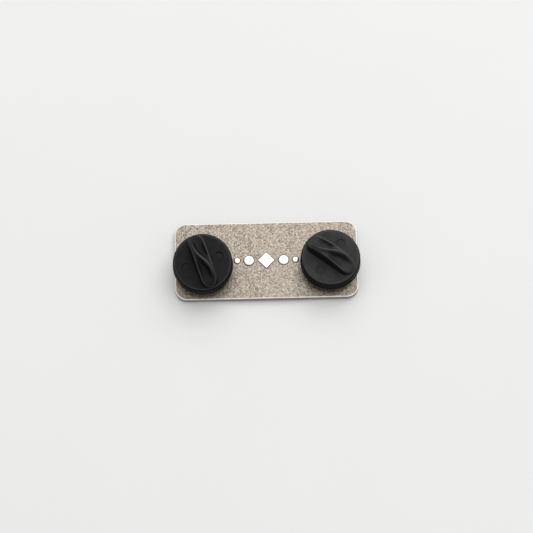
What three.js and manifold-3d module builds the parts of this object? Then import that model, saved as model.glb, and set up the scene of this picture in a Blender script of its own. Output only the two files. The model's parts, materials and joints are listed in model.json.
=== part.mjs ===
// Enamel pin: a small rounded-rectangle metal badge with a hard-enamel picture on the front,
// two soldered tack posts on the back and two moulded rubber clutches pushed onto the posts.
// Millimetres, +Z up. The front face lies on z = 0 and the posts point up.

import * as THREE from 'three';
import { mergeVertices } from 'three/addons/utils/BufferGeometryUtils.js';
import Module from 'manifold-3d';

// badge plate
const plateLength = 31.0;
const plateWidth = 13.6;
const plateThickness = 1.2;
const plateCorner = 2.0;
const plateEdgeEase = 0.12;

// front picture: raised metal lines with enamel ground flush between them
const enamelDepth = 0.35;
const borderLine = 0.7;
const fineLine = 0.35;
const horizonY = -2.5;
const sunRadius = 2.7;
const innerArcOuter = 5.5;
const middleArcOuter = 8.35;
const waveHeight = 0.32;
const waveCount = 7;
const waveY = -4.15;

// raised ornament on the back
const ornamentHeight = 0.12;
const ornamentDraft = 0.06;
const diamondHalf = 1.55;
const largeDotRadius = 0.95;
const largeDotX = 2.95;
const smallDotRadius = 0.6;
const smallDotX = 4.95;

// tack posts, measured up from the back of the plate
const leftPost = { x: -10.74, y: -1.13 };
const rightPost = { x: 10.83, y: -1.0 };
const leftPostLean = 6.5;
const postRadius = 0.55;
const postLength = 6.1;
const postGrooveDepth = 0.12;
const postGrooveTop = 1.2;
const postGrooveBottom = 1.75;
const postGrooveSlope = 0.15;
const postRoot = 0.15;
const postPadRadius = 1.4;
const postPadThickness = 0.35;
const solderRadius = 2.0;

// rubber clutches, measured up from their own base
const clutchRadius = 5.1;
const clutchWallRadius = 5.04;
const clutchFaceHeight = 4.0;
const clutchFaceRadius = 4.35;
const clutchFootRadius = 4.45;
const clutchFootHeight = 1.3;
const clutchLipHeight = 2.1;
const clutchGap = 0.02;
const bootRadius = 2.3;
const bootDepth = 0.5;
const boreRadius = 0.6;
const boreStraight = 5.6;
const boreDepth = 6.4;
const dimpleRadius = 0.78;
const dimpleDepth = 0.16;
const dimpleOffset = 2.92;
const leftGripTurn = -71.5;
const rightGripTurn = -37.5;

// grip bar on top of a clutch, measured up from the clutch face
const gripHalfLength = 4.6;
const gripHalfWidth = 1.35;
const gripEndHeight = 0.55;
const gripShoulder = 2.95;
const gripEdgeEase = 0.22;
const gripDraft = 0.12;
const gripRoot = 0.7;
const crestHeight = 3.7;
const crestFall = 0.09;
const crestReach = 2.4;
const crestOffset = 0.82;
const crestHalfWidth = 0.45;
const hollowDepth = 1.0;
const hollowRim = 0.12;
const hollowFade = { from: 1.8, to: 4.5 };
const hollowOpening = { from: -0.7, to: 1.1 };

// facets
const cornerSegments = 7;
const discSegments = 72;
const clutchSegments = 56;
const postSegments = 24;
const gripStations = 32;
const gripColumns = 7;

// colours
const nickel = 0xb8b0a2;
const solderGrey = 0x9a968e;
const rubberBlack = 0x1b1b1b;
const enamelColours = {
  enamel_sun: 0xf3b72e,
  enamel_inner_glow: 0xe9793a,
  enamel_outer_glow: 0xc9485b,
  enamel_sky_left: 0x3f3a7a,
  enamel_sky_right: 0x3f3a7a,
  enamel_sea_upper: 0x1f7fa6,
  enamel_sea_lower: 0x14507e,
};

const wasm = await Module();
wasm.setup();

function solidFromGeometry(geometry) {
  const bare = new THREE.BufferGeometry();
  bare.setAttribute('position', geometry.getAttribute('position'));
  bare.setIndex(geometry.getIndex());
  const merged = mergeVertices(bare, 1e-4);
  const mesh = new wasm.Mesh({
    numProp: 3,
    vertProperties: merged.getAttribute('position').array,
    triVerts: new Uint32Array(merged.getIndex().array),
  });
  return new wasm.Manifold(mesh);
}

function geometryFromSolid(solid) {
  const mesh = solid.getMesh();
  const geometry = new THREE.BufferGeometry();
  geometry.setAttribute('position', new THREE.BufferAttribute(mesh.vertProperties, 3));
  geometry.setIndex(new THREE.BufferAttribute(mesh.triVerts, 1));
  geometry.computeVertexNormals();
  return geometry;
}

// A prism of the front picture. It is drawn as the front is seen, then turned face down.
function picturePrism(shape, zLow, zHigh, curveSegments) {
  const geometry = new THREE.ExtrudeGeometry(shape, {
    depth: zHigh - zLow,
    bevelEnabled: false,
    curveSegments,
  });
  geometry.translate(0, 0, zLow);
  geometry.rotateX(Math.PI);
  return solidFromGeometry(geometry);
}

// A turned piece on the Z axis, leaned about X where a lean is given.
function turned(profile, segments, lean = 0) {
  const points = profile.map(([r, z]) => new THREE.Vector2(r, z));
  const geometry = new THREE.LatheGeometry(points, segments);
  geometry.rotateX(Math.PI / 2 + lean);
  return solidFromGeometry(geometry);
}

function roundedRectangle(halfX, halfY, corner) {
  const shape = new THREE.Shape();
  shape.moveTo(halfX - corner, -halfY);
  shape.absarc(halfX - corner, corner - halfY, corner, -Math.PI / 2, 0);
  shape.absarc(halfX - corner, halfY - corner, corner, 0, Math.PI / 2);
  shape.absarc(corner - halfX, halfY - corner, corner, Math.PI / 2, Math.PI);
  shape.absarc(corner - halfX, corner - halfY, corner, Math.PI, (3 * Math.PI) / 2);
  shape.closePath();
  return shape;
}

function boxShape(xLow, xHigh, yLow, yHigh) {
  const shape = new THREE.Shape();
  shape.moveTo(xLow, yLow);
  shape.lineTo(xHigh, yLow);
  shape.lineTo(xHigh, yHigh);
  shape.lineTo(xLow, yHigh);
  shape.closePath();
  return shape;
}

// A tall prism that trims the picture cells.
function cutter(shape) {
  return picturePrism(shape, -2, 2, discSegments);
}

function discCutter(radius) {
  const shape = new THREE.Shape();
  shape.absarc(0, horizonY, radius, 0, 2 * Math.PI);
  return cutter(shape);
}

function ringCutter(innerRadius, outerRadius) {
  return discCutter(outerRadius).subtract(discCutter(innerRadius));
}

function waveAt(x) {
  return waveY + waveHeight * Math.cos((2 * Math.PI * waveCount * x) / plateLength);
}

// The region between a straight edge and the wavy line, moved aside by half a metal line.
function waveCutter(straightY, waveShift) {
  const steps = waveCount * 8;
  const half = plateLength / 2;
  const shape = new THREE.Shape();
  const forward = straightY < waveY;
  shape.moveTo(forward ? -half : half, straightY);
  shape.lineTo(forward ? half : -half, straightY);
  for (let i = 0; i <= steps; i += 1) {
    const x = (forward ? half : -half) * (1 - (2 * i) / steps);
    shape.lineTo(x, waveAt(x) + waveShift);
  }
  shape.closePath();
  return cutter(shape);
}

// Each cell of the front picture as a flat slab. The enamel's own face is at z = 0, and a slab
// that stands proud of the front is the tool that cuts its recess.
function pictureCells(proud) {
  const halfX = plateLength / 2 - borderLine;
  const halfY = plateWidth / 2 - borderLine;
  const outline = roundedRectangle(halfX, halfY, plateCorner - borderLine);
  const field = picturePrism(outline, -enamelDepth, proud, cornerSegments);
  const farX = plateLength;
  const farY = plateWidth;
  const sky = field.intersect(cutter(boxShape(-farX, farX, horizonY, farY)));
  const sea = field.intersect(cutter(boxShape(-farX, farX, -farY, horizonY - fineLine)));
  const openSky = sky.subtract(discCutter(middleArcOuter + fineLine));
  return {
    enamel_sun: sky.intersect(discCutter(sunRadius)),
    enamel_inner_glow: sky.intersect(ringCutter(sunRadius + fineLine, innerArcOuter)),
    enamel_outer_glow: sky.intersect(ringCutter(innerArcOuter + fineLine, middleArcOuter)),
    enamel_sky_left: openSky.intersect(cutter(boxShape(-farX, 0, -farY, farY))),
    enamel_sky_right: openSky.intersect(cutter(boxShape(0, farX, -farY, farY))),
    enamel_sea_upper: sea.intersect(waveCutter(0, fineLine / 2)),
    enamel_sea_lower: sea.intersect(waveCutter(-farY, -fineLine / 2)),
  };
}

function plateBlank() {
  const outline = roundedRectangle(plateLength / 2, plateWidth / 2, plateCorner);
  const geometry = new THREE.ExtrudeGeometry(outline, {
    depth: plateThickness - 2 * plateEdgeEase,
    bevelEnabled: true,
    bevelThickness: plateEdgeEase,
    bevelSize: plateEdgeEase,
    bevelOffset: -plateEdgeEase,
    bevelSegments: 2,
    curveSegments: cornerSegments,
  });
  geometry.translate(0, 0, plateEdgeEase);
  return solidFromGeometry(geometry);
}

// A raised stud of the back ornament: a low frustum rooted in the plate.
function raisedStud(x, radius, sides) {
  const root = 0.2;
  const height = root + ornamentHeight;
  const geometry = new THREE.CylinderGeometry(radius - ornamentDraft, radius, height, sides);
  geometry.rotateX(Math.PI / 2);
  geometry.translate(x, 0, plateThickness - root + height / 2);
  return solidFromGeometry(geometry);
}

function basePlate() {
  let solid = plateBlank();
  for (const recess of Object.values(pictureCells(1))) {
    solid = solid.subtract(recess);
  }
  solid = solid.add(raisedStud(0, diamondHalf, 4));
  for (const side of [-1, 1]) {
    solid = solid.add(raisedStud(side * largeDotX, largeDotRadius, 32));
    solid = solid.add(raisedStud(side * smallDotX, smallDotRadius, 24));
  }
  return solid;
}

// The wire of a post, grooved near its tip. It stands on the pad and leans towards -Y.
function postWire(lean) {
  const tip = postLength;
  const groove = postRadius - postGrooveDepth;
  const profile = [
    [0, postRoot],
    [postRadius, postRoot],
    [postRadius, tip - postGrooveBottom],
    [groove, tip - postGrooveBottom + postGrooveSlope],
    [groove, tip - postGrooveTop - postGrooveSlope],
    [postRadius, tip - postGrooveTop],
    [postRadius, tip - 0.85],
    [postRadius * 0.62, tip - 0.32],
    [postRadius * 0.2, tip - 0.03],
    [0, tip],
  ];
  return turned(profile, postSegments, lean);
}

function postPad() {
  const profile = [
    [0, 0],
    [postPadRadius, 0],
    [postPadRadius, postPadThickness - 0.06],
    [postPadRadius - 0.08, postPadThickness],
    [0, postPadThickness],
  ];
  return turned(profile, postSegments);
}

function tackPost(lean) {
  return postPad().add(postWire(lean));
}

function solderFillet() {
  const profile = [
    [solderRadius, 0],
    [solderRadius - 0.14, 0.09],
    [solderRadius - 0.34, 0.18],
    [postPadRadius, postPadThickness - 0.06],
    [postPadRadius, 0],
    [solderRadius, 0],
  ];
  return turned(profile, postSegments);
}

// An undercut foot, a thin lip round the lower edge of the wall, and a rounded rim up to the face.
function clutchBody() {
  const foot = clutchFootHeight;
  const lip = clutchLipHeight;
  const face = clutchFaceHeight;
  const profile = [
    [0, 0],
    [clutchFootRadius - 0.1, 0],
    [clutchFootRadius, 0.12],
    [clutchFootRadius + 0.04, foot],
    [clutchRadius - 0.3, foot + 0.42],
    [clutchRadius - 0.06, lip - 0.2],
    [clutchRadius, lip - 0.08],
    [clutchRadius, lip + 0.06],
    [clutchWallRadius, lip + 0.2],
    [clutchWallRadius, face - 0.7],
    [clutchWallRadius - 0.05, face - 0.45],
    [clutchWallRadius - 0.17, face - 0.24],
    [clutchWallRadius - 0.34, face - 0.1],
    [clutchFaceRadius + 0.13, face - 0.02],
    [clutchFaceRadius, face],
    [0, face],
  ];
  return turned(profile, clutchSegments);
}

function clutchBore() {
  const profile = [
    [0, -1],
    [bootRadius, -1],
    [bootRadius, bootDepth],
    [boreRadius + 0.25, bootDepth + 0.75],
    [boreRadius, bootDepth + 1.1],
    [boreRadius, boreStraight],
    [boreRadius * 0.25, boreDepth - 0.04],
    [0, boreDepth],
  ];
  return turned(profile, postSegments);
}

// A shallow round sink left by the mould on each side of the grip.
function dimple(side) {
  const floor = clutchFaceHeight - dimpleDepth;
  const geometry = new THREE.CylinderGeometry(dimpleRadius, dimpleRadius, 1, postSegments);
  geometry.rotateX(Math.PI / 2);
  geometry.translate(0, side * dimpleOffset, floor + 0.5);
  return solidFromGeometry(geometry);
}

function gripHalfWidthAt(s) {
  const straight = gripHalfLength - gripHalfWidth;
  const over = Math.max(0, Math.abs(s) - straight);
  const rounded = Math.sqrt(Math.max(0, gripHalfWidth * gripHalfWidth - over * over));
  return Math.max(rounded, 0.15);
}

// The crest crosses the bar slantwise, from one long edge to the other.
function crestLine(s) {
  const reach = Math.min(1, Math.abs(s) / crestReach);
  return crestOffset * Math.sign(s) * Math.sin((Math.PI / 2) * reach);
}

function crestRise(s) {
  return crestHeight - crestFall * s * s;
}

// Height of the grip's long edges above the clutch face: low at the ends, domed in the middle.
function shoulderRise(s) {
  const along = s / (gripHalfLength + 0.15);
  const dome = Math.pow(Math.max(0, 1 - along * along), 0.75);
  return gripEndHeight + (gripShoulder - gripEndHeight) * dome;
}

// Depth of the hollow beside the crest: it opens on the +Y side of one half and the -Y side of the other.
function hollowAt(s, w, ridge) {
  const toward = w > crestLine(s) ? -s : s;
  const open = THREE.MathUtils.smoothstep(toward, hollowOpening.from, hollowOpening.to);
  const ends = 1 - THREE.MathUtils.smoothstep(Math.abs(s), hollowFade.from, hollowFade.to);
  const reach = Math.min(1, Math.abs(w) / (gripHalfWidthAt(s) - hollowRim));
  return hollowDepth * (1 - ridge) * (1 - Math.pow(reach, 3)) * ends * open;
}

// Height of the grip's top above the clutch face: its shoulders, the crest and the hollows beside it.
function gripTop(s, w) {
  const shoulder = shoulderRise(s);
  const fade = 1 - THREE.MathUtils.smoothstep(Math.abs(s), crestReach, gripHalfLength - 0.4);
  const away = (w - crestLine(s)) / crestHalfWidth;
  const ridge = 1 / Math.pow(1 + away * away, 2);
  return shoulder + Math.max(0, crestRise(s) - shoulder) * ridge * fade - hollowAt(s, w, ridge);
}

// One cross-section of the grip. Its columns gather at the crest, so that the crest stays sharp.
function gripSection(s) {
  const half = gripHalfWidthAt(s);
  const easing = Math.min(gripEdgeEase, half * 0.5);
  const middle = THREE.MathUtils.clamp(crestLine(s), -0.65 * half, 0.65 * half);
  const across = [];
  for (let i = 0; i < gripColumns; i += 1) {
    const t = Math.sin((Math.PI / 2) * (i / gripColumns));
    across.push(-half + (middle + half) * t);
  }
  for (let i = gripColumns; i >= 0; i -= 1) {
    const t = Math.sin((Math.PI / 2) * (i / gripColumns));
    across.push(half - (half - middle) * t);
  }
  const ring = across.map((w) => {
    const edge = Math.max(0, Math.abs(w) - (half - easing)) / easing;
    const drop = easing * (1 - Math.sqrt(Math.max(0, 1 - edge * edge)));
    return [w, clutchFaceHeight + gripTop(s, w) - drop];
  });
  ring.push([half + gripDraft, clutchFaceHeight - gripRoot]);
  ring.push([-half - gripDraft, clutchFaceHeight - gripRoot]);
  return ring;
}

function gripBar() {
  const positions = [];
  const corners = [];
  let count = 0;
  for (let j = 0; j <= gripStations; j += 1) {
    const s = -gripHalfLength * Math.cos((Math.PI * j) / gripStations);
    const ring = gripSection(s);
    count = ring.length;
    for (const [w, z] of ring) {
      positions.push(s, w, z);
    }
  }
  for (let j = 0; j < gripStations; j += 1) {
    for (let i = 0; i < count; i += 1) {
      const a = j * count + i;
      const b = j * count + ((i + 1) % count);
      corners.push(a, a + count, b);
      corners.push(b, a + count, b + count);
    }
  }
  const last = gripStations * count;
  for (let i = 1; i < count - 1; i += 1) {
    corners.push(0, i, i + 1);
    corners.push(last, last + i + 1, last + i);
  }
  const geometry = new THREE.BufferGeometry();
  geometry.setAttribute('position', new THREE.Float32BufferAttribute(positions, 3));
  geometry.setIndex(corners);
  return solidFromGeometry(geometry);
}

function rubberClutch() {
  return clutchBody()
    .add(gripBar())
    .subtract(dimple(1))
    .subtract(dimple(-1))
    .subtract(clutchBore());
}

function namedMesh(name, solid, color, roughness, metalness) {
  const material = new THREE.MeshStandardMaterial({ color, roughness, metalness });
  material.name = `${name}_finish`;
  const mesh = new THREE.Mesh(geometryFromSolid(solid), material);
  mesh.name = name;
  return mesh;
}

// Everything that stands on one post: the post, its solder and the clutch pushed over it.
// The clutch leans with its post, so it is raised until its foot clears the plate.
function fastening(side, place, leanDegrees, gripTurn) {
  const lean = THREE.MathUtils.degToRad(leanDegrees);
  const assembly = new THREE.Group();
  assembly.position.set(place.x, place.y, plateThickness);
  assembly.add(namedMesh(`${side}_post`, tackPost(lean), nickel, 0.3, 1.0));
  assembly.add(namedMesh(`${side}_post_solder`, solderFillet(), solderGrey, 0.4, 1.0));
  const leaning = new THREE.Group();
  leaning.rotation.x = lean;
  const clutch = namedMesh(`${side}_clutch`, rubberClutch(), rubberBlack, 0.55, 0.0);
  clutch.rotation.z = THREE.MathUtils.degToRad(gripTurn);
  clutch.position.z = clutchFootRadius * Math.tan(lean) + clutchGap;
  leaning.add(clutch);
  assembly.add(leaning);
  return assembly;
}

const group = new THREE.Group();
group.name = 'enamel_pin';
group.add(namedMesh('base_plate', basePlate(), nickel, 0.38, 1.0));
for (const [name, cell] of Object.entries(pictureCells(0))) {
  group.add(namedMesh(name, cell, enamelColours[name], 0.12, 0.0));
}
group.add(fastening('left', leftPost, leftPostLean, leftGripTurn));
group.add(fastening('right', rightPost, 0, rightGripTurn));

export default group;
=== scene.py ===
"""Enamel pin: the fine surfaces and finishes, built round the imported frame.

Shapes are worked out in millimetres and turned into metres when a piece is made.
"""

import json
import math

import bmesh
import bpy
from bpy.props import FloatProperty, FloatVectorProperty, IntProperty, PointerProperty
from mathutils import Matrix, Vector, noise
from mathutils.geometry import tessellate_polygon


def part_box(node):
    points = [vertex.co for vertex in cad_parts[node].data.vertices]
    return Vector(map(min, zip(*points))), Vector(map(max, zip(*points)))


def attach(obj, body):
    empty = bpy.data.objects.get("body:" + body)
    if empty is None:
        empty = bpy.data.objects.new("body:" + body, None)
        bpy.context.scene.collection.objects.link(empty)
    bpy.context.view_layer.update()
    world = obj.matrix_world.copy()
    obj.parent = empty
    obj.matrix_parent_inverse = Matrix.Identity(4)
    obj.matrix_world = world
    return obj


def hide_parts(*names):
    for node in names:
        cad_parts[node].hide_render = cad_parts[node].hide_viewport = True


bl_info = {
    "name": "Enamel pin",
    "version": (1, 0, 0),
    "blender": (4, 5, 0),
    "location": "3D View > Sidebar > Enamel pin",
    "description": "Builds a hard-enamel pin with two rubber clutches round its packed frame",
    "category": "Object",
}

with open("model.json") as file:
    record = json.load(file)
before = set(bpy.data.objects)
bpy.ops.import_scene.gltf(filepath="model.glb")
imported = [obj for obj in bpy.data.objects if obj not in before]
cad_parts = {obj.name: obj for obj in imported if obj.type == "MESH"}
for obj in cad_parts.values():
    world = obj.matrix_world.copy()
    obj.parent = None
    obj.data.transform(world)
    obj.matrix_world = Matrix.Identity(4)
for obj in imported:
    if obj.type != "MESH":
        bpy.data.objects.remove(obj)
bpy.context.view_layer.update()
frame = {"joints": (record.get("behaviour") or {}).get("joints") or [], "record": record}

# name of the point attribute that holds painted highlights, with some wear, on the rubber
RUBBING_AND_HIGHLIGHT = "rubbed"
MM = 0.001
BADGE = "badge"
SIDES = ("left", "right")
CLUTCH_BODY = {"left": "left_rubber_clutch", "right": "right_rubber_clutch"}
ENAMEL_SLOT = {
    "enamel_sun": "yellow_enamel",
    "enamel_inner_glow": "orange_enamel",
    "enamel_outer_glow": "rose_enamel",
    "enamel_sky_left": "indigo_enamel",
    "enamel_sky_right": "indigo_enamel",
    "enamel_sea_upper": "teal_enamel",
    "enamel_sea_lower": "navy_enamel",
}


def box_mm(node):
    """The lowest and highest corners of a frame node, in millimetres."""
    low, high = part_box(node)
    return low / MM, high / MM


def slot_colour(name):
    """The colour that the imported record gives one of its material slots."""
    for entry in frame["record"]["materials"]:
        if entry["slot"] == name:
            return tuple(entry["base_color"][:3])
    raise RuntimeError(f"the record has no material slot {name}")


# ---------------------------------------------------------------- sizes read from the frame

PLATE_HIGH = box_mm("base_plate")[1]
SKY_LOW = box_mm("enamel_sky_left")[0]
SUN_HIGH = box_mm("enamel_sun")[1]
SEA_LOW, SEA_HIGH = box_mm("enamel_sea_upper")
DEEP_LOW = box_mm("enamel_sea_lower")[0]
POST_LOW, POST_HIGH = box_mm("right_post")
CLUTCH_LOW, CLUTCH_HIGH = box_mm("right_clutch")
ENAMEL_DEPTH = SUN_HIGH.z
HALF_X = PLATE_HIGH.x
HALF_Y = PLATE_HIGH.y
FIELD_X = -SKY_LOW.x
FIELD_Y = -SKY_LOW.y
HORIZON = SUN_HIGH.y
SUN_RADIUS = SUN_HIGH.x
INNER_GLOW_RADIUS = box_mm("enamel_inner_glow")[1].x
OUTER_GLOW_RADIUS = box_mm("enamel_outer_glow")[1].x
LINE = SEA_LOW.y - HORIZON
SOLDER_LOW = {side: box_mm(f"{side}_post_solder")[0] for side in SIDES}
SOLDER_HIGH = {side: box_mm(f"{side}_post_solder")[1] for side in SIDES}
BACK = SOLDER_LOW["right"].z
SOLDER_RADIUS = (SOLDER_HIGH["right"].x - SOLDER_LOW["right"].x) / 2
SOLDER_HEIGHT = SOLDER_HIGH["right"].z - BACK
PAD_RADIUS = (POST_HIGH.x - POST_LOW.x) / 2
POST_LENGTH = POST_HIGH.z - BACK
CLUTCH_RADIUS = (CLUTCH_HIGH.x - CLUTCH_LOW.x) / 2
CLUTCH_HEIGHT = CLUTCH_HIGH.z - BACK
CLUTCH_GAP = CLUTCH_LOW.z - BACK


def post_centre(side):
    """Where a post stands, in millimetres."""
    middle = (SOLDER_LOW[side] + SOLDER_HIGH[side]) / 2
    return Vector((middle.x, middle.y, BACK))


def pull_lean(side):
    """How far the way that a clutch pulls off leans towards the plate's near edge."""
    axis = next(joint["axis"] for joint in frame["joints"] if joint["child"] == CLUTCH_BODY[side])
    return math.atan2(-axis[1], axis[2])


def post_axis(side):
    """The turn and place of a post, which leans as its clutch's way off does."""
    return Matrix.Translation(post_centre(side)) @ Matrix.Rotation(pull_lean(side), 4, "X")


# ---------------------------------------------------------------- finer sizes in mm, and counts

STUD_WALL = 0.1
STUD_CROWN = 0.17
STUD_EASE = 0.03
POST_SIDES = 48
PAD_EASE = 0.03
SOLDER_SIDES = 72
SOLDER_WANDER = 0.12
CLUTCH_SIDES = 160
SINK_SIDES = 40
SINK_RADIUS = 0.78
SINK_PLACE = 2.92
SINK_DEPTH = 0.16
BORE_SIDES = 64
BORE_CLEARANCE = 0.05
POCKET_RADIUS = 2.3
POCKET_HEIGHT = 0.5
GRIP_STATIONS = 96
GRIP_COLUMNS = 16
GRIP_EASE = 0.24
GRIP_ROOT = 0.7
GRIP_FLARE = 0.12
CUT_PAST = 1.0
TABLE_SIDES = 96
TABLE_RADIUS = 600.0
TABLE_DEPTH = 20.0

# ---------------------------------------------------------------- fixed colours, key light in m

# painted shade for the ornament's steep walls
PAINTED_SHADE_NICKEL = (0.07, 0.06, 0.05)
# paler rubber for painted highlights and some wear on the rims and edges
WORN_AND_HIGHLIGHT_RUBBER = (0.12, 0.12, 0.122)
DUST = (0.2, 0.2, 0.19)
SURROUND = (1.0, 0.995, 0.985, 1.0)
KEY_PLACE = (0.12, 0.3, 0.62)
KEY_SIZE = 0.8


# ---------------------------------------------------------------- settings


class PlateSettings(bpy.types.PropertyGroup):
    """Sizes and colours of the struck metal plate."""

    corner: FloatProperty(
        name="Corner radius", description="Radius of the plate's corners, mm", default=2.0
    )
    back_edge: FloatProperty(
        name="Back edge", description="Round of the back edge, mm", default=0.14
    )
    front_edge: FloatProperty(
        name="Front edge", description="Round of the front edge, mm", default=0.1
    )
    line_edge: FloatProperty(
        name="Line edge", description="Ease on the metal lines' edges, mm", default=0.02
    )
    nickel: FloatVectorProperty(
        name="Nickel",
        description="Colour of the nickel plating",
        subtype="COLOR",
        default=(0.315, 0.275, 0.23),
    )
    polish: FloatVectorProperty(
        name="Polished nickel",
        description="Colour of polished nickel",
        subtype="COLOR",
        default=(0.86, 0.82, 0.76),
    )
    grain: FloatProperty(name="Grain", description="Size of the blasted grain, mm", default=0.24)


class OrnamentSettings(bpy.types.PropertyGroup):
    """Sizes of the raised ornament on the back."""

    height: FloatProperty(
        name="Height", description="How far the ornament stands proud, mm", default=0.12
    )
    diamond: FloatProperty(
        name="Diamond", description="Half diagonal of the middle diamond, mm", default=1.55
    )
    large_dot: FloatProperty(
        name="Large dot", description="Radius of the inner dots, mm", default=0.95
    )
    large_place: FloatProperty(
        name="Large dot place", description="Inner dots from the middle, mm", default=2.95
    )
    small_dot: FloatProperty(
        name="Small dot", description="Radius of the outer dots, mm", default=0.6
    )
    small_place: FloatProperty(
        name="Small dot place", description="Outer dots from the middle, mm", default=4.95
    )


class EnamelSettings(bpy.types.PropertyGroup):
    """Sizes of the enamel picture."""

    waves: IntProperty(name="Waves", description="Waves along the sea line", default=7)
    rim: FloatProperty(name="Rim", description="Ease where enamel meets metal, mm", default=0.03)


class PostSettings(bpy.types.PropertyGroup):
    """Sizes of the headed posts and their solder."""

    radius: FloatProperty(name="Radius", description="Radius of the post wire, mm", default=0.55)
    groove: FloatProperty(
        name="Groove", description="Depth of the groove near the point, mm", default=0.12
    )
    pad: FloatProperty(name="Pad", description="Thickness of the post's head, mm", default=0.35)


class ClutchSettings(bpy.types.PropertyGroup):
    """Sizes and colours of the rubber clutches."""

    face: FloatProperty(
        name="Face height", description="Height of the flat face above the base, mm", default=4.0
    )
    face_radius: FloatProperty(
        name="Face radius", description="Radius of the flat face, mm", default=4.35
    )
    wall_radius: FloatProperty(
        name="Wall radius", description="Radius of the wall, mm", default=5.02
    )
    lip: FloatProperty(
        name="Lip height", description="Height of the thin lip under the wall, mm", default=1.6
    )
    foot_radius: FloatProperty(
        name="Foot radius", description="Radius of the foot, mm", default=4.45
    )
    left_turn: FloatProperty(
        name="Left turn",
        description="Turn of the left grip",
        subtype="ANGLE",
        default=math.radians(-71.5),
    )
    right_turn: FloatProperty(
        name="Right turn",
        description="Turn of the right grip",
        subtype="ANGLE",
        default=math.radians(-37.5),
    )
    grip_length: FloatProperty(
        name="Grip length", description="Half length of the grip, mm", default=4.6
    )
    grip_width: FloatProperty(
        name="Grip width", description="Half width of the grip, mm", default=1.35
    )
    end_rise: FloatProperty(
        name="End rise", description="Height of the grip at its ends, mm", default=0.55
    )
    shoulder_rise: FloatProperty(
        name="Shoulder", description="Height of the grip's edges, mm", default=2.95
    )
    crest_reach: FloatProperty(
        name="Crest reach", description="Half length of the crest's slant, mm", default=2.4
    )
    crest_offset: FloatProperty(
        name="Crest offset", description="How far the crest goes aside, mm", default=0.82
    )
    crest_width: FloatProperty(
        name="Crest width", description="Half width of the crest, mm", default=0.45
    )
    crest_fall: FloatProperty(
        name="Crest fall", description="Fall of the crest along the bar", default=0.09
    )
    hollow: FloatProperty(name="Hollow", description="Depth of the hollows, mm", default=1.0)
    voxel: FloatProperty(
        name="Voxel", description="Finest detail of the moulding, mm", default=0.07
    )
    rubber: FloatVectorProperty(
        name="Rubber",
        description="Colour of the rubber",
        subtype="COLOR",
        default=(0.046, 0.046, 0.0468),
    )
    # painted shade: how much darker the left clutch's rubber is painted than the right's, as it is
    # lit less
    left_painted_shade: FloatProperty(
        name="Left tone", description="Brightness of the left clutch's rubber", default=0.45
    )


class StageSettings(bpy.types.PropertyGroup):
    """Camera, light and floor."""

    azimuth: FloatProperty(
        name="Azimuth",
        description="Camera's turn round the pin",
        subtype="ANGLE",
        default=math.radians(-1.333),
    )
    elevation: FloatProperty(
        name="Elevation",
        description="Camera above the table",
        subtype="ANGLE",
        default=math.radians(71.0),
    )
    distance: FloatProperty(
        name="Distance", description="Camera to the pin, m", unit="LENGTH", default=0.4481
    )
    lens: FloatProperty(name="Lens", description="Focal length, mm", default=177.74)
    aim_across: FloatProperty(
        name="Aim across", description="Aim to the right of the middle, mm", default=0.04
    )
    aim_up: FloatProperty(name="Aim up", description="Aim above the middle, mm", default=-0.675)
    floor: FloatVectorProperty(
        name="Floor",
        description="Colour of the table top",
        subtype="COLOR",
        default=(0.86, 0.86, 0.86),
    )
    sky: FloatProperty(
        name="Surround", description="Strength of the surrounding light", default=0.5
    )
    key: FloatProperty(name="Key", description="Power of the large soft light, W", default=3.85)


SETTINGS = {
    "pin_plate": PlateSettings,
    "pin_ornament": OrnamentSettings,
    "pin_enamel": EnamelSettings,
    "pin_post": PostSettings,
    "pin_clutch": ClutchSettings,
    "pin_stage": StageSettings,
}


# ---------------------------------------------------------------- shader maths


class Value:
    """A shader socket that takes part in arithmetic: each expression adds its Math nodes."""

    def __init__(self, finish, socket):
        self.finish = finish
        self.socket = socket

    def math(self, operation, *values):
        sockets = dict(enumerate(values))
        return self.finish.node("ShaderNodeMath", {"operation": operation}, sockets)

    def __add__(self, other):
        return self.math("ADD", self, other)

    __radd__ = __add__

    def __sub__(self, other):
        return self.math("SUBTRACT", self, other)

    def __rsub__(self, other):
        return self.math("SUBTRACT", other, self)

    def __mul__(self, other):
        return self.math("MULTIPLY", self, other)

    __rmul__ = __mul__

    def __truediv__(self, other):
        return self.math("DIVIDE", self, other)

    def __rtruediv__(self, other):
        return self.math("DIVIDE", other, self)


PRINCIPLED = {
    "metallic": "Metallic",
    "normal": "Normal",
    "specular": "Specular IOR Level",
    "coat": "Coat Weight",
    "coat_rough": "Coat Roughness",
}


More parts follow.
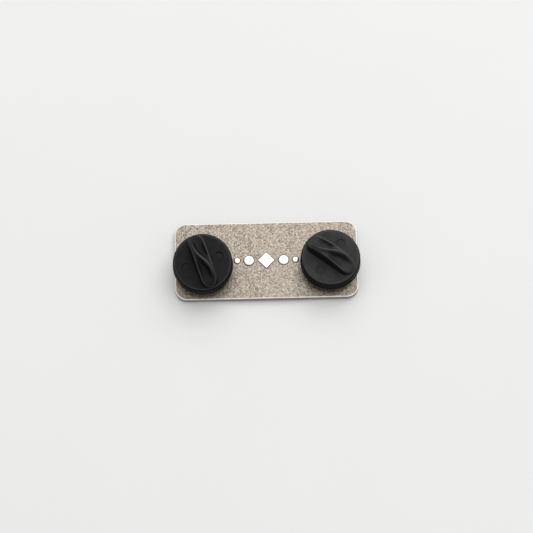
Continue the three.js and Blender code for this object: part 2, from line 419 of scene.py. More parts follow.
class Finish:
    """One material and the nodes that make it."""

    def __init__(self, name):
        self.material = bpy.data.materials.new(name)
        self.material.use_nodes = True
        self.tree = self.material.node_tree
        self.tree.nodes.clear()

    def node(self, kind, settings=None, sockets=None, out=0):
        """Adds a node, sets it up, fills or links its sockets, and returns one output."""
        made = self.tree.nodes.new(kind)
        for key, value in (settings or {}).items():
            if key == "stops":
                self.set_stops(made.color_ramp, value)
            else:
                setattr(made, key, value)
        for key, value in (sockets or {}).items():
            if isinstance(value, Value):
                self.tree.links.new(value.socket, made.inputs[key])
            else:
                made.inputs[key].default_value = value
        return Value(self, made.outputs[out]) if made.outputs else None

    @staticmethod
    def set_stops(ramp, stops):
        while len(ramp.elements) < len(stops):
            ramp.elements.new(0.5)
        for element, (place, level) in zip(ramp.elements, stops):
            element.position = place
            element.color = (level, level, level, 1.0)

    def place(self):
        """The point on the surface, in millimetres, from the object's own coordinates."""
        point = self.node("ShaderNodeTexCoord", out="Object")
        sockets = {0: point, "Scale": 1 / MM}
        return self.node("ShaderNodeVectorMath", {"operation": "SCALE"}, sockets)

    def height_over(self, point, level, span):
        """How far a point is above a level, in spans."""
        height = self.node("ShaderNodeSeparateXYZ", None, {0: point}, out="Z")
        return (height - level) / span

    def facing_up(self):
        """One where the surface faces straight up, zero where it stands upright."""
        normal = self.node("ShaderNodeNewGeometry", None, {}, out="Normal")
        return self.node("ShaderNodeSeparateXYZ", None, {0: normal}, out="Z")

    def grain(self, point, scale, detail, roughness):
        """Cloudy noise between zero and one."""
        sockets = {"Vector": point, "Scale": scale, "Detail": detail, "Roughness": roughness}
        return self.node("ShaderNodeTexNoise", None, sockets, out="Fac")

    def cells(self, point, scale):
        """How far a point is from the middle of its pebble."""
        sockets = {"Vector": point, "Scale": scale, "Smoothness": 0.6}
        return self.node("ShaderNodeTexVoronoi", {"feature": "SMOOTH_F1"}, sockets, out="Distance")

    def steps(self, value, stops):
        """A value passed through a ramp of (place, level) stops."""
        return self.node("ShaderNodeValToRGB", {"stops": stops}, {"Fac": value})

    def shade(self, colour, amount):
        """A colour darkened or lightened by a factor that changes over the surface."""
        grey = self.node("ShaderNodeCombineXYZ", None, {0: amount, 1: amount, 2: amount})
        sockets = {0: grey, 1: tuple(colour)[:3]}
        return self.node("ShaderNodeVectorMath", {"operation": "MULTIPLY"}, sockets)

    def mix(self, amount, first, second):
        sockets = {0: amount, 6: as_colour(first), 7: as_colour(second)}
        return self.node("ShaderNodeMix", {"data_type": "RGBA"}, sockets, out=2)

    def bump(self, height, distance_mm, strength):
        sockets = {"Height": height, "Distance": distance_mm * MM, "Strength": strength}
        return self.node("ShaderNodeBump", None, sockets)

    def surface(self, colour, rough, **others):
        """Finishes the material with one principled shader."""
        sockets = {"Base Color": colour, "Roughness": rough}
        for key, value in others.items():
            sockets[PRINCIPLED[key]] = value
        shader = self.node("ShaderNodeBsdfPrincipled", None, sockets)
        self.node("ShaderNodeOutputMaterial", None, {"Surface": shader})
        return self.material


def as_colour(value):
    return value if isinstance(value, Value) else (*tuple(value)[:3], 1.0)


# ---------------------------------------------------------------- finishes


def blasted_nickel():
    """Nickel plating over a sand-blasted face: fine pits and pimples with a soft shine."""
    options = bpy.context.scene.pin_plate
    f = Finish("blasted_nickel")
    point = f.place()
    pebble = f.cells(point, 1.0 / options.grain)
    fine = f.grain(point, 0.9 / options.grain, 3.0, 0.65)
    broad = f.grain(point, 0.35, 2.0, 0.5)
    tone = 1.0 + 3.4 * (fine - 0.5) + 0.8 * (pebble - 0.4) + 0.4 * (broad - 0.5)
    colour = f.shade(options.nickel, tone)
    rough = 0.5 + 0.2 * (fine - 0.5)
    height = 0.65 * fine - 0.5 * pebble
    normal = f.bump(height, 0.08, 0.9)
    return f.surface(colour, rough, metallic=1.0, normal=normal)


def burnished_nickel():
    """Tumbled walls with faint tool marks, burnished bright with a painted highlight where they
    round over to the back, and painted shade down the rest of the wall.
    """
    options = bpy.context.scene.pin_plate
    f = Finish("burnished_nickel")
    point = f.place()
    marks = f.grain(point, 3.0, 4.0, 0.6)
    up_the_wall = f.height_over(point, BACK - 0.26, 0.2)
    # painted highlight on the back edge's rounding over the burnish, painted shade darkening the
    # wall below
    rubbed = f.steps(up_the_wall, ((0.0, 0.3), (0.55, 0.36), (1.0, 1.25)))
    tone = rubbed * (0.95 + 0.7 * (marks - 0.5))
    colour = f.shade(options.polish, tone)
    normal = f.bump(marks, 0.03, 0.5)
    return f.surface(colour, 0.3 + 0.16 * marks, metallic=0.3, normal=normal)


def polished_nickel():
    """Bright polished nickel of the ornament and the picture's metal lines."""
    options = bpy.context.scene.pin_plate
    f = Finish("polished_nickel")
    point = f.place()
    haze = f.grain(point, 2.2, 3.0, 0.55)
    scuff = f.grain(point, 14.0, 2.0, 0.6)
    tone = 0.72 + 0.5 * (haze - 0.5) + 0.3 * (scuff - 0.5)
    colour = f.shade(options.polish, tone)
    normal = f.bump(scuff, 0.006, 0.5)
    return f.surface(colour, 0.2 + 0.2 * haze, metallic=1.0, normal=normal)


def shaded_nickel():
    """The struck walls of the ornament: dull, and painted dark as the shade round the foot of each
    stud.
    """
    f = Finish("shaded_nickel")
    dirt = f.grain(f.place(), 8.0, 2.0, 0.5)
    return f.surface(f.shade(PAINTED_SHADE_NICKEL, 0.8 + 0.4 * dirt), 0.55, metallic=1.0)


def wire_nickel():
    """Drawn wire of the posts, with fine lines along it."""
    f = Finish("wire_nickel")
    point = f.place()
    sockets = {0: point, 1: (1.0, 1.0, 0.06)}
    stretched = f.node("ShaderNodeVectorMath", {"operation": "MULTIPLY"}, sockets)
    lines = f.grain(stretched, 16.0, 2.0, 0.5)
    colour = f.shade(slot_colour("post_nickel"), 0.9 + 0.2 * lines)
    normal = f.bump(lines, 0.01, 0.5)
    return f.surface(colour, 0.2 + 0.15 * lines, metallic=1.0, normal=normal)


def dull_solder():
    """Grey solder with a slightly crazed skin."""
    f = Finish("dull_solder")
    point = f.place()
    skin = f.grain(point, 4.0, 4.0, 0.6)
    normal = f.bump(skin, 0.04, 0.7)
    colour = f.shade(slot_colour("solder"), 0.75 + 0.4 * skin)
    return f.surface(colour, 0.38 + 0.2 * skin, metallic=1.0, normal=normal)


def black_rubber(side):
    """Moulded black rubber, a bit dusty: painted paler on top, painted shade dark on its walls and
    flanks, painted highlights and some wear on rims and edges.
    """
    options = bpy.context.scene.pin_clutch
    # painted shade: the left clutch gets a darker copy of the rubber
    tone = options.left_painted_shade if side == "left" else 1.0
    f = Finish(f"black_rubber_{side}")
    point = f.place()
    pores = f.grain(point, 9.0, 3.0, 0.6)
    bloom = f.grain(point, 0.9, 3.0, 0.5)
    specks = f.cells(point, 2.6)
    dust = f.steps(specks, ((0.0, 1.0), (0.055, 0.0)))
    # painted shade: the rubber is painted far darker down the walls below the face's rim
    up_the_rim = f.height_over(point, BACK + options.face - 0.6, 0.5)
    painted_wall_shade = f.steps(up_the_rim, ((0.0, 0.08), (1.0, 1.0)))
    # painted light and shade: surfaces that face up are painted paler, upright flanks darker
    painted_top_light = f.steps(f.facing_up(), ((0.25, 0.22), (0.85, 1.0)))
    # painted highlights, with some wear, read from the point attribute
    rubbed = f.node("ShaderNodeAttribute", {"attribute_name": RUBBING_AND_HIGHLIGHT}, out="Fac")
    clean = f.shade(options.rubber, tone * painted_wall_shade * painted_top_light * (0.6 + 0.8 * bloom))
    worn_and_highlighted = f.mix(0.75 * rubbed, clean, WORN_AND_HIGHLIGHT_RUBBER)
    colour = f.mix(0.2 * dust, worn_and_highlighted, DUST)
    normal = f.bump(pores, 0.015, 0.5)
    rough = 0.34 + 0.12 * bloom + 0.1 * pores
    return f.surface(colour, rough, specular=0.025, normal=normal)


def hard_enamel(slot):
    """Fired and polished enamel: deep colour with a faint cloud and a glassy skin."""
    f = Finish(slot)
    point = f.place()
    cloud = f.grain(point, 0.8, 3.0, 0.5)
    ripple = f.grain(point, 1.6, 2.0, 0.5)
    pits = f.steps(f.cells(point, 1.4), ((0.0, 0.0), (0.05, 1.0)))
    colour = f.shade(slot_colour(slot), 0.9 + 0.2 * cloud)
    normal = f.bump(0.5 * ripple + 0.5 * pits, 0.006, 0.6)
    return f.surface(colour, 0.1 + 0.12 * cloud, coat=0.6, coat_rough=0.05, normal=normal)


def table_top():
    """Plain pale floor."""
    options = bpy.context.scene.pin_stage
    f = Finish("table_top")
    paper = f.grain(f.place(), 0.05, 2.0, 0.5)
    return f.surface(f.shade(options.floor, 0.99 + 0.02 * paper), 0.75)


# ---------------------------------------------------------------- shells


class Shell:
    """Points and faces of a piece, in millimetres, gathered ring by ring."""

    def __init__(self):
        self.points = []
        self.faces = []
        self.tags = []

    def ring(self, outline, z):
        start = len(self.points)
        self.points += [(x, y, z) for x, y in outline]
        return list(range(start, len(self.points)))

    def face(self, corners, tag=0):
        self.faces.append(tuple(corners))
        self.tags.append(tag)

    def bridge(self, first, second, tag=0):
        count = len(first)
        for i in range(count):
            j = (i + 1) % count
            self.face((first[i], first[j], second[j], second[i]), tag)

    def cap(self, rings, tag=0):
        flat = [index for ring in rings for index in ring]
        loops = [[Vector(self.points[index]) for index in ring] for ring in rings]
        for triangle in tessellate_polygon(loops):
            self.face([flat[i] for i in triangle], tag)

    def stack(self, layers, tag=0):
        """Rings joined one above the other, from (outline, z) pairs, with both ends closed."""
        rings = [self.ring(outline, z) for outline, z in layers]
        for low, high in zip(rings, rings[1:]):
            self.bridge(low, high, tag)
        self.cap([rings[0]], tag)
        self.cap([rings[-1]], tag)
        return rings

    def mesh(self, name):
        """The finished mesh, still in millimetres, with its faces pointing out."""
        made = bpy.data.meshes.new(name)
        made.from_pydata(self.points, [], self.faces)
        for polygon, tag in zip(made.polygons, self.tags):
            polygon.material_index = tag
        work = bmesh.new()
        work.from_mesh(made)
        bmesh.ops.remove_doubles(work, verts=work.verts, dist=1e-5)
        bmesh.ops.recalc_face_normals(work, faces=work.faces)
        work.to_mesh(made)
        work.free()
        return made


def turned(profile, segments):
    """A shell turned round Z from (radius, height) pairs. Radius 0 closes it on the axis."""
    shell = Shell()
    rows = []
    for radius, z in profile:
        if radius < 1e-6:
            shell.points.append((0.0, 0.0, z))
            rows.append([len(shell.points) - 1])
            continue
        rows.append(shell.ring(circle(radius, segments), z))
    for first, second in zip(rows, rows[1:]):
        if len(first) == 1 and len(second) == 1:
            continue
        if len(first) == 1 or len(second) == 1:
            pole, ring = (first, second) if len(first) == 1 else (second, first)
            for i in range(segments):
                shell.face((pole[0], ring[i], ring[(i + 1) % segments]))
            continue
        shell.bridge(first, second)
    return shell


def circle(radius, count, centre=(0.0, 0.0)):
    steps = [2 * math.pi * i / count for i in range(count)]
    return [(centre[0] + radius * math.cos(a), centre[1] + radius * math.sin(a)) for a in steps]


def arc(centre, radius, start, end, count):
    """Points along an arc, both ends included. Angles are in degrees."""
    points = []
    for i in range(count + 1):
        angle = math.radians(start + (end - start) * i / count)
        points.append((centre[0] + radius * math.cos(angle), centre[1] + radius * math.sin(angle)))
    return points


def rounded_rectangle(half_x, half_y, corner, count=14):
    across, along = half_x - corner, half_y - corner
    return (
        arc((across, -along), corner, -90, 0, count)
        + arc((across, along), corner, 0, 90, count)
        + arc((-across, along), corner, 90, 180, count)
        + arc((-across, -along), corner, 180, 270, count)
    )


def signed_area(outline):
    pairs = zip(outline, outline[1:] + outline[:1])
    return sum(ax * by - bx * ay for (ax, ay), (bx, by) in pairs) / 2


def grown(outline, amount):
    """An outline moved outwards by a small amount, with mitred corners."""
    turn = 1.0 if signed_area(outline) > 0 else -1.0
    moved = []
    count = len(outline)
    for i, point in enumerate(outline):
        here = Vector(point)
        before = (here - Vector(outline[i - 1])).normalized()
        after = (Vector(outline[(i + 1) % count]) - here).normalized()
        first = Vector((before.y, -before.x)) * turn
        second = Vector((after.y, -after.x)) * turn
        mitre = (first + second) / max(0.25, 1.0 + first.dot(second))
        moved.append(tuple(here + mitre * amount))
    return moved


def edge_round(radius, count=5):
    """(inset, drop) pairs round a quarter of an edge, from the face to the wall."""
    angles = [math.pi / 2 * i / count for i in range(count + 1)]
    return [(radius * (1 - math.sin(a)), radius * (1 - math.cos(a))) for a in angles]


# ---------------------------------------------------------------- making pieces


def add_piece(name, mesh, body, finishes, replaces=None, sharp=35.0):
    """Turns a mesh in millimetres into a piece of the pin that rides on a body of the frame."""
    mesh.transform(Matrix.Scale(MM, 4))
    mesh.name = name
    for finish in finishes:
        mesh.materials.append(finish)
    mesh.polygons.foreach_set("use_smooth", [True] * len(mesh.polygons))
    mesh.set_sharp_from_angle(angle=math.radians(sharp))
    mesh.update()
    piece = bpy.data.objects.new(name, mesh)
    bpy.context.collection.objects.link(piece)
    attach(piece, body)
    if replaces:
        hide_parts(replaces)
    return piece


def modified(mesh, steps):
    """A mesh after modifiers, given as (type, settings) pairs, in the mesh's own units."""
    working = bpy.data.objects.new("working", mesh)
    bpy.context.collection.objects.link(working)
    for kind, settings in steps:
        modifier = working.modifiers.new(kind.lower(), kind)
        for key, value in settings.items():
            setattr(modifier, key, value)
    bpy.context.view_layer.update()
    graph = bpy.context.evaluated_depsgraph_get()
    made = bpy.data.meshes.new_from_object(working.evaluated_get(graph))
    bpy.data.objects.remove(working)
    if not made.polygons:
        raise RuntimeError(f"nothing is left of {mesh.name} after its modifiers")
    return made


def boolean(operation, other):
    """A modifier step that joins or cuts with another object."""
    return "BOOLEAN", {"operation": operation, "solver": "EXACT", "object": other}


def tool(mesh):
    """A hidden object that a boolean modifier joins or cuts with."""
    made = bpy.data.objects.new("tool", mesh)
    bpy.context.collection.objects.link(made)
    return made


def discard(tools):
    for made in tools:
        bpy.data.objects.remove(made)


# ---------------------------------------------------------------- the picture's cells


def sea_line(x):
    """Where the wavy metal line between the two seas runs, at its middle."""
    height = (SEA_HIGH.y - DEEP_LOW.y - LINE) / 4
    middle = (SEA_HIGH.y + DEEP_LOW.y) / 2
    waves = bpy.context.scene.pin_enamel.waves
    return middle - height * math.cos(2 * math.pi * waves * x / (2 * HALF_X))


def wave_edge(start, end, shift, count=168):
    points = []
    for i in range(count + 1):
        x = start + (end - start) * i / count
        points.append((x, sea_line(x) + shift))
    return points


def half_disc(radius):
    return arc((0.0, HORIZON), radius, 180, 360, 72)


def half_ring(inner, outer):
    return arc((0.0, HORIZON), outer, 180, 360, 96) + arc((0.0, HORIZON), inner, 360, 180, 72)


def sky(side):
    """The sky beside the outer glow: side is -1 for left and 1 for right."""
    reach = OUTER_GLOW_RADIUS + LINE
    rise = HORIZON + FIELD_Y
    corner = bpy.context.scene.pin_plate.corner - (HALF_X - FIELD_X)
    meets = math.degrees(math.acos(rise / reach))
    curve = arc((0.0, HORIZON), reach, 270 - meets, 180, 72)
    bend = arc((corner - FIELD_X, corner - FIELD_Y), corner, 180, 270, 14)
    outline = [(-FIELD_X, HORIZON)] + bend + curve
    return [(-side * x, y) for x, y in outline]


def near_sea():
    return [(-FIELD_X, SEA_LOW.y), (FIELD_X, SEA_LOW.y)] + wave_edge(FIELD_X, -FIELD_X, -LINE / 2)


def deep_sea():
    corner = bpy.context.scene.pin_plate.corner - (HALF_X - FIELD_X)
    along = FIELD_Y - corner
    return (
        wave_edge(-FIELD_X, FIELD_X, LINE / 2)
        + arc((FIELD_X - corner, along), corner, 0, 90, 14)
        + arc((corner - FIELD_X, along), corner, 90, 180, 14)
    )


def picture_cells():
    """The outline of each enamel cell, by its node's name."""
    return {
        "enamel_sun": half_disc(SUN_RADIUS),
        "enamel_inner_glow": half_ring(SUN_RADIUS + LINE, INNER_GLOW_RADIUS),
        "enamel_outer_glow": half_ring(INNER_GLOW_RADIUS + LINE, OUTER_GLOW_RADIUS),
        "enamel_sky_left": sky(-1),
        "enamel_sky_right": sky(1),
        "enamel_sea_upper": near_sea(),
        "enamel_sea_lower": deep_sea(),
    }


# ---------------------------------------------------------------- operators


class PIN_OT_plate(bpy.types.Operator):
    """Make the struck metal plate with its recesses"""

    bl_idname = "pin.plate"
    bl_label = "Plate"

    def execute(self, context):
        options = context.scene.pin_plate
        shell = Shell()
        back, wall, front = 0, 1, 2

        def outline(inset):
            return rounded_rectangle(HALF_X - inset, HALF_Y - inset, options.corner - inset)

        back_round = edge_round(options.back_edge)
        front_round = reversed(edge_round(options.front_edge))
        rings = [shell.ring(outline(inset), BACK - drop) for inset, drop in back_round]
        rings += [shell.ring(outline(inset), drop) for inset, drop in front_round]
        for low, high in zip(rings, rings[1:]):
            shell.bridge(low, high, wall)
        shell.cap([rings[0]], back)
        mouths = []
        ease = options.line_edge
        for cell in picture_cells().values():
            mouth = shell.ring(grown(cell, ease), 0.0)
            lip = shell.ring(cell, ease)
            floor = shell.ring(cell, ENAMEL_DEPTH)
            shell.bridge(mouth, lip, front)
            shell.bridge(lip, floor, front)
            shell.cap([floor], front)
            mouths.append(mouth)
        shell.cap([rings[-1], *mouths], front)
        finishes = [blasted_nickel(), burnished_nickel(), polished_nickel()]
        made = shell.mesh("struck_plate")
        add_piece("struck_plate", made, BADGE, finishes, "base_plate")
        return {"FINISHED"}


def stud(shell, x, radius, sides, height):
    """A low raised stud: steep walls painted dark as shade and a polished top with an eased edge.
    """
    bottom = circle(radius, sides, (x, 0.0))
    shoulder = circle(radius - STUD_WALL, sides, (x, 0.0))
    crown = circle(radius - STUD_CROWN, sides, (x, 0.0))
    low = shell.ring(bottom, BACK)
    middle = shell.ring(shoulder, BACK + height - STUD_EASE)
    high = shell.ring(crown, BACK + height)
    shell.bridge(low, middle, 0)
    shell.bridge(middle, high, 1)
    shell.cap([low], 0)
    shell.cap([high], 1)


class PIN_OT_ornament(bpy.types.Operator):
    """Make the raised ornament on the back of the plate"""

    bl_idname = "pin.ornament"
    bl_label = "Back ornament"

    def execute(self, context):
        options = context.scene.pin_ornament
        shell = Shell()
        stud(shell, 0.0, options.diamond, 4, options.height)
        for side in (-1, 1):
            stud(shell, side * options.large_place, options.large_dot, 56, options.height)
            stud(shell, side * options.small_place, options.small_dot, 48, options.height)
        finishes = [shaded_nickel(), polished_nickel()]
        made = shell.mesh("back_ornament")
        add_piece("back_ornament", made, BADGE, finishes, sharp=25.0)
        return {"FINISHED"}


class PIN_OT_enamel(bpy.types.Operator):
    """Fill each cell of the front picture with enamel"""

    bl_idname = "pin.enamel"
    bl_label = "Enamel"

    def execute(self, context):
        rim = context.scene.pin_enamel.rim
        finishes = {slot: hard_enamel(slot) for slot in sorted(set(ENAMEL_SLOT.values()))}
        for node, cell in picture_cells().items():
            shell = Shell()
            shell.stack([(grown(cell, -rim), 0.0), (cell, rim * 0.8), (cell, ENAMEL_DEPTH)])
            slot = ENAMEL_SLOT[node]
            add_piece(f"{node}_fill", shell.mesh(node), BADGE, [finishes[slot]], node)
        return {"FINISHED"}


def pad_profile(options):
    """The post's round head, as (radius, height) pairs from its base."""
    pad = options.pad
    return [
        (0.0, 0.0),
        (PAD_RADIUS - PAD_EASE, 0.0),
        (PAD_RADIUS, PAD_EASE),
        (PAD_RADIUS, pad - 0.08),
        (PAD_RADIUS - PAD_EASE, pad - PAD_EASE),
        (PAD_RADIUS - 0.1, pad),
        (0.0, pad),
    ]


def wire_profile(options):
    """The post's wire from inside its head to its point, as (radius, height) pairs."""
    radius, pad = options.radius, options.pad
    neck = radius - options.groove
    tip = POST_LENGTH
    return [
        (0.0, 0.1),
        (radius + 0.14, 0.1),
        (radius + 0.14, pad),
        (radius + 0.05, pad + 0.05),
        (radius, pad + 0.14),
        (radius, tip - 1.75),
        (radius - 0.03, tip - 1.7),
        (neck, tip - 1.58),
        (neck, tip - 1.37),
        (radius - 0.03, tip - 1.25),
        (radius, tip - 1.2),
        (radius, tip - 0.85),
        (radius * 0.86, tip - 0.6),
        (radius * 0.62, tip - 0.32),
        (radius * 0.36, tip - 0.1),
        (radius * 0.15, tip - 0.02),
        (0.0, tip),
    ]


class PIN_OT_posts(bpy.types.Operator):
    """Make the two headed posts and the solder that holds them"""

    bl_idname = "pin.posts"
    bl_label = "Posts and solder"

    def execute(self, context):
        options = context.scene.pin_post
        drawn, grey = wire_nickel(), dull_solder()
        for side in SIDES:
            pad = turned(pad_profile(options), POST_SIDES).mesh("pad")
            pad.transform(Matrix.Translation(post_centre(side)))
            wire = turned(wire_profile(options), POST_SIDES).mesh("wire")
            wire.transform(post_axis(side))
            wire = tool(wire)
            post = modified(pad, [boolean("UNION", wire)])
            discard([wire])
            add_piece(f"{side}_tack_post", post, BADGE, [drawn], f"{side}_post")
            name, node = f"{side}_solder_ring", f"{side}_post_solder"
            solder = self.solder_ring(post_centre(side))
            add_piece(name, solder, BADGE, [grey], node)
        return {"FINISHED"}

    @staticmethod
    def solder_ring(centre):
        """A fillet whose outer edge wanders a little, as melted solder does."""
        inner = PAD_RADIUS + 0.01
        shell = Shell()
        rings = []
        for spread, rise in ((1.0, 0.0), (0.9, 0.16), (0.72, 0.4), (0.45, 0.7), (0.0, 1.0)):
            outline = []
            for x, y in circle(1.0, SOLDER_SIDES):
                wander = noise.noise(Vector((x * 1.4, y * 1.4, centre.x)))
                reach = (SOLDER_RADIUS - inner) * (0.9 + SOLDER_WANDER * wander)
                radius = inner + reach * spread
                outline.append((radius * x, radius * y))
            rings.append(shell.ring(outline, SOLDER_HEIGHT * rise))
        rings.append(shell.ring(circle(inner, SOLDER_SIDES), 0.0))
        for first, second in zip(rings, rings[1:] + rings[:1]):
            shell.bridge(first, second)
        made = shell.mesh("solder")
        made.transform(Matrix.Translation(centre))
        return made


# ---------------------------------------------------------------- the clutch


def smooth_step(value, low, high):
    """Zero below low and one above high, with an eased climb between them."""
    t = min(1.0, max(0.0, (value - low) / (high - low)))
    return t * t * (3 - 2 * t)


def grip_half_width(options, s):
    """Half the grip's width at a place along it, round at both ends."""
    straight = options.grip_length - options.grip_width
    over = max(0.0, abs(s) - straight)
    return max(0.06, math.sqrt(max(0.0, options.grip_width**2 - over**2)))


def crest_line(options, s):
    """How far aside the crest runs at a place along the grip."""
    reach = min(1.0, abs(s) / options.crest_reach)
    return options.crest_offset * math.copysign(math.sin(math.pi / 2 * reach), s)


def shoulder_rise(options, s):
    """Height of the grip's edges at a place along it."""
    along = s / (options.grip_length + 0.15)
    dome = max(0.0, 1 - along * along) ** 0.75
    return options.end_rise + (options.shoulder_rise - options.end_rise) * dome


def grip_top(options, s, w):
    """Height of the grip above the clutch face: a slanting crest between two hollows."""
    shoulder = shoulder_rise(options, s)
    fade = 1 - smooth_step(abs(s), options.crest_reach, options.grip_length - 0.4)
    aside = w - crest_line(options, s)
    ridge = 1 / (1 + (aside / options.crest_width) ** 2) ** 2
    crest = CLUTCH_HEIGHT - options.face - options.crest_fall * s * s
    open_side = smooth_step(-s if aside > 0 else s, -0.7, 1.1)
    ends = 1 - smooth_step(abs(s), 1.8, options.grip_length - 0.1)
    inside = 1 - min(1.0, abs(w) / (grip_half_width(options, s) - 0.12)) ** 3
    hollow = options.hollow * (1 - ridge) * inside * ends * open_side
    return shoulder + max(0.0, crest - shoulder) * ridge * fade - hollow


def grip_section(options, s):
    """One cross-section of the grip as (w, height) pairs, closed below the clutch face."""
    half = grip_half_width(options, s)
    ease = min(GRIP_EASE, half * 0.5)
    middle = min(0.65 * half, max(-0.65 * half, crest_line(options, s)))
    bends = [math.sin(math.pi / 2 * i / GRIP_COLUMNS) for i in range(GRIP_COLUMNS + 1)]
    across = [-half + (middle + half) * t for t in bends[:-1]]
    across += [half - (half - middle) * t for t in reversed(bends)]
    section = []
    for w in across:
        edge = max(0.0, abs(w) - (half - ease)) / ease
        drop = ease * (1 - math.sqrt(max(0.0, 1 - edge * edge)))
        section.append((w, options.face + grip_top(options, s, w) - drop))
    section.append((half + GRIP_FLARE, options.face - GRIP_ROOT))
    section.append((-half - GRIP_FLARE, options.face - GRIP_ROOT))
    return section


def grip_mesh(options):
    """The grip bar with its crest and hollows, from one end to the other."""
    shell = Shell()
    rows = []
    for j in range(GRIP_STATIONS + 1):
        s = -options.grip_length * math.cos(math.pi * j / GRIP_STATIONS)
        start = len(shell.points)
        shell.points += [(s, w, z) for w, z in grip_section(options, s)]
        rows.append(list(range(start, len(shell.points))))
    for first, second in zip(rows, rows[1:]):
        shell.bridge(first, second)
    shell.face(rows[0])
    shell.face(rows[-1])
    return shell.mesh("grip")


def clutch_profile(options):
    """Half outline of the clutch: an undercut foot, a thin lip, a wall and a rounded rim."""
    outer, foot, wall = CLUTCH_RADIUS, options.foot_radius, options.wall_radius
    lip, face, flat = options.lip, options.face, options.face_radius
    return [
        (0.0, 0.0),
        (foot - 0.1, 0.0),
        (foot, 0.12),
        (foot + 0.04, lip - 0.8),
        (outer - 0.3, lip - 0.38),
        (outer - 0.07, lip - 0.2),
        (outer, lip - 0.08),
        (outer, lip + 0.06),
        (outer - 0.03, lip + 0.12),
        (wall, lip + 0.18),
        (wall, face - 0.7),
        (wall - 0.02, face - 0.56),
        (wall - 0.07, face - 0.4),
        (wall - 0.17, face - 0.24),
        (wall - 0.3, face - 0.12),
        (wall - 0.44, face - 0.05),
        (flat + 0.1, face - 0.01),
        (flat, face),
        (0.0, face),
    ]


def bore_profile():
    """The blind bore, its flared mouth and the pocket that clears the post's head."""
    post = bpy.context.scene.pin_post.radius
    radius = post + BORE_CLEARANCE
    tip = POST_LENGTH
    return [
        (0.0, -CUT_PAST),
        (POCKET_RADIUS, -CUT_PAST),
        (POCKET_RADIUS, POCKET_HEIGHT),
        (radius + 0.25, 1.25),
        (radius, 1.6),
        (radius, tip - 0.5),
        (radius * 0.25, tip + 0.26),
        (0.0, tip + 0.3),
    ]


def dimple_mesh(options, side):
    """A shallow round sink beside the grip."""
    floor = options.face - SINK_DEPTH
    shell = Shell()
    outline = circle(SINK_RADIUS, SINK_SIDES, (0.0, side * SINK_PLACE))
    shell.stack([(outline, floor), (outline, floor + CUT_PAST)])
    return shell.mesh("dimple")


def moulded_clutch(options):
    """One clutch standing on the origin, in millimetres: body and grip in one moulding."""
    body = turned(clutch_profile(options), CLUTCH_SIDES).mesh("clutch")
    grip = tool(grip_mesh(options))
    sinks = [tool(dimple_mesh(options, side)) for side in (-1, 1)]
    bore = tool(turned(bore_profile(), BORE_SIDES).mesh("bore"))
    steps = [boolean("UNION", grip), *(boolean("DIFFERENCE", sink) for sink in sinks)]
    steps.append(("REMESH", {"mode": "VOXEL", "voxel_size": options.voxel}))
    steps.append(("SMOOTH", {"factor": 0.5, "iterations": 3}))
    steps.append(boolean("DIFFERENCE", bore))
    made = modified(body, steps)
    discard([grip, *sinks, bore])
    return made


def near(value, target, width):
    """One on the target, falling away smoothly to either side."""
    return math.exp(-(((value - target) / width) ** 2))


def rubbing_and_highlight_at(options, point):
    """Painted highlight, with some wear, at a point: pale on the grip's edges, its crest and the
    rims.
    """
    s, w, z = point
    reach = math.hypot(s, w)
    rim = near(reach, options.wall_radius - 0.28, 0.14)
    rim *= near(z, options.face - 0.08, 0.12)
    lip = near(reach, CLUTCH_RADIUS, 0.05) * near(z, options.lip, 0.14)
    rubbed = max(0.45 * rim, 0.7 * lip)
    if abs(s) < options.grip_length and z > options.face + 0.25:
        half = grip_half_width(options, s)
        edge = near(abs(w), half - 0.14, 0.13)
        # the far side's edges get a stronger painted highlight than the near side's
        edge *= 0.5 if w > 0 else 0.3
        crest = near(w, crest_line(options, s), 0.2) * near(s, 0.0, options.crest_reach)
        top = smooth_step(z - options.face - grip_top(options, s, w), -0.5, -0.2)
        rubbed = max(rubbed, top * max(edge, crest))
    return rubbed


def mark_rubbing_and_highlight(options, mesh):
    """Writes the painted highlight and wear at each point, for the rubber's finish to read."""
    values = [rubbing_and_highlight_at(options, vertex.co) for vertex in mesh.vertices]
    mesh.attributes.new(RUBBING_AND_HIGHLIGHT, "FLOAT", "POINT").data.foreach_set("value", values)


class PIN_OT_clutches(bpy.types.Operator):
    """Mould the two rubber clutches and push them onto the posts"""

    bl_idname = "pin.clutches"
    bl_label = "Rubber clutches"

    def execute(self, context):
        options = context.scene.pin_clutch
        turns = {"left": options.left_turn, "right": options.right_turn}
        moulding = moulded_clutch(options)
        mark_rubbing_and_highlight(options, moulding)
        for side in SIDES:
            made = moulding.copy()
            lift = options.foot_radius * math.tan(pull_lean(side)) + CLUTCH_GAP
            turn = Matrix.Rotation(turns[side], 4, "Z")
            made.transform(post_axis(side) @ Matrix.Translation((0, 0, lift)) @ turn)
            name, body, node = f"{side}_rubber_grip", CLUTCH_BODY[side], f"{side}_clutch"
            add_piece(name, made, body, [black_rubber(side)], node, sharp=60.0)
        return {"FINISHED"}


# ---------------------------------------------------------------- stage


def add_floor():
    outline = circle(TABLE_RADIUS, TABLE_SIDES)
    shell = Shell()
    shell.stack([(outline, -TABLE_DEPTH), (outline, 0.0)])
    made = shell.mesh("table")
    made.transform(Matrix.Scale(MM, 4))
    made.materials.append(table_top())
    table = bpy.data.objects.new("table", made)
    bpy.context.collection.objects.link(table)


def add_camera(options):
    camera = bpy.data.cameras.new("camera")
    camera.lens = options.lens
    camera.sensor_width = 36.0
    camera.clip_start = 0.01
    camera.clip_end = 20.0
    turn, rise = options.azimuth, options.elevation
    level = math.cos(rise)
    back = Vector((math.sin(turn) * level, -math.cos(turn) * level, math.sin(rise)))
    rotation = (-back).to_track_quat("-Z", "Y")
    aim = rotation @ Vector((options.aim_across * MM, options.aim_up * MM, 0.0))
    holder = bpy.data.objects.new("camera", camera)
    holder.rotation_mode = "QUATERNION"
    holder.rotation_quaternion = rotation
    holder.location = aim + back * options.distance
    bpy.context.collection.objects.link(holder)
    bpy.context.scene.camera = holder


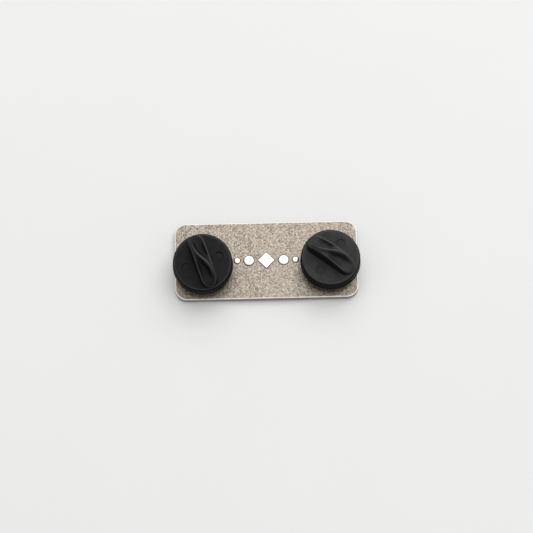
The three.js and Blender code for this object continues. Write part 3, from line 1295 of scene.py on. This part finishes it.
def add_key_light(power):
    """The large soft square light, which looks at the pin."""
    light = bpy.data.lights.new("key", "AREA")
    light.size = KEY_SIZE
    light.energy = power
    holder = bpy.data.objects.new("key", light)
    holder.location = Vector(KEY_PLACE)
    holder.rotation_mode = "QUATERNION"
    holder.rotation_quaternion = (-Vector(KEY_PLACE)).to_track_quat("-Z", "Y")
    bpy.context.collection.objects.link(holder)


def add_surround(strength):
    world = bpy.data.worlds.new("surround")
    world.use_nodes = True
    shade = world.node_tree.nodes["Background"]
    shade.inputs["Color"].default_value = SURROUND
    shade.inputs["Strength"].default_value = strength
    bpy.context.scene.world = world


class PIN_OT_stage(bpy.types.Operator):
    """Set up the table top, the soft lights and the camera"""

    bl_idname = "pin.stage"
    bl_label = "Stage"

    def execute(self, context):
        options = context.scene.pin_stage
        add_floor()
        add_camera(options)
        add_surround(options.sky)
        add_key_light(options.key)
        context.scene.view_settings.view_transform = "Standard"
        return {"FINISHED"}


class PIN_PT_panel(bpy.types.Panel):
    """Buttons for the pieces, in the order in which they are made"""

    bl_idname = "PIN_PT_panel"
    bl_label = "Enamel pin"
    bl_space_type = "VIEW_3D"
    bl_region_type = "UI"
    bl_category = "Enamel pin"

    def draw(self, context):
        for operator in OPERATORS:
            self.layout.operator(operator.bl_idname)


OPERATORS = (
    PIN_OT_plate,
    PIN_OT_ornament,
    PIN_OT_enamel,
    PIN_OT_posts,
    PIN_OT_clutches,
    PIN_OT_stage,
)


def register():
    for name, settings in SETTINGS.items():
        bpy.utils.register_class(settings)
        setattr(bpy.types.Scene, name, PointerProperty(type=settings))
    for item in (*OPERATORS, PIN_PT_panel):
        bpy.utils.register_class(item)


def unregister():
    for item in (PIN_PT_panel, *reversed(OPERATORS)):
        bpy.utils.unregister_class(item)
    for name, settings in reversed(SETTINGS.items()):
        delattr(bpy.types.Scene, name)
        bpy.utils.unregister_class(settings)


def main():
    register()
    for item in OPERATORS:
        family, action = item.bl_idname.split(".")
        getattr(getattr(bpy.ops, family), action)()


if __name__ == "__main__":
    main()
